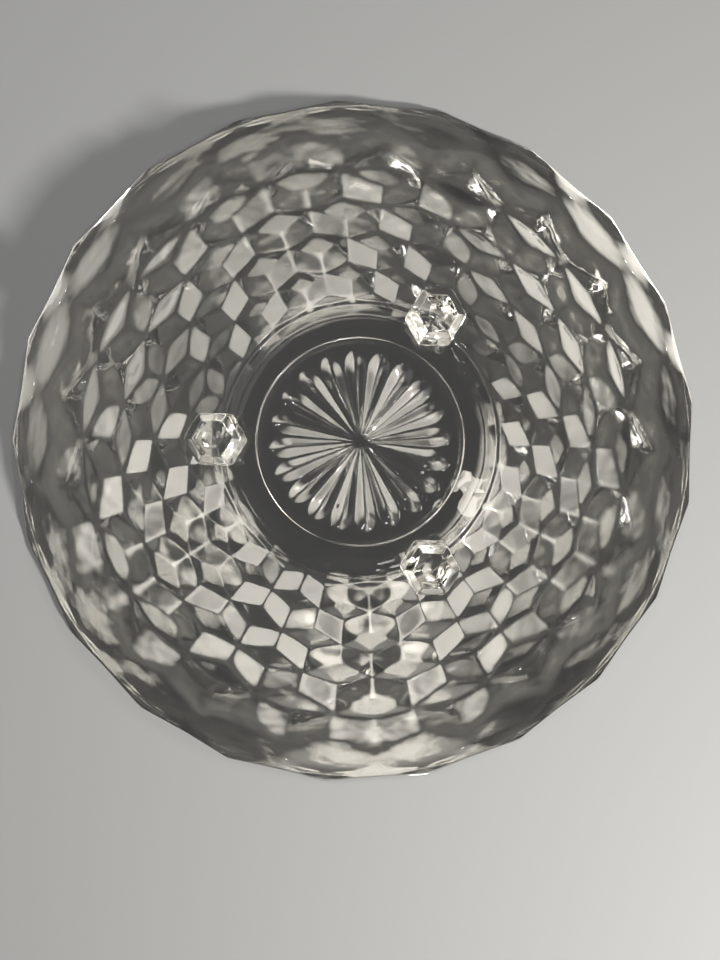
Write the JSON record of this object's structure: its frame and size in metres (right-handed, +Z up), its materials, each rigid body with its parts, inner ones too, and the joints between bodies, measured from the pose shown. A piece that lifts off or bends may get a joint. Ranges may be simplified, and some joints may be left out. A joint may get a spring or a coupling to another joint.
{
  "type": "three-footed glass bowl",
  "caption": "Shallow flared bowl of clear pressed glass with a cubed outside wall, a scalloped rim, a star under its round base and three hexagonal feet.",
  "frame": {"origin": "on the surface that the feet stand on, under the middle of the bowl", "axes": "+Z up through the open mouth, as the bowl stands in use; -X towards foot_1; foot_2 and foot_3 are at +60 and -60 degrees from +X"},
  "size_m": [0.2657, 0.2664, 0.082],
  "materials": {
    "clear_glass": "fire-polished clear glass"
  },
  "bodies": {
    "root": {"bowl_wall": "clear_glass", "base_plate": "clear_glass", "foot_1": "clear_glass", "foot_2": "clear_glass", "foot_3": "clear_glass"}
  },
  "joints": []
}
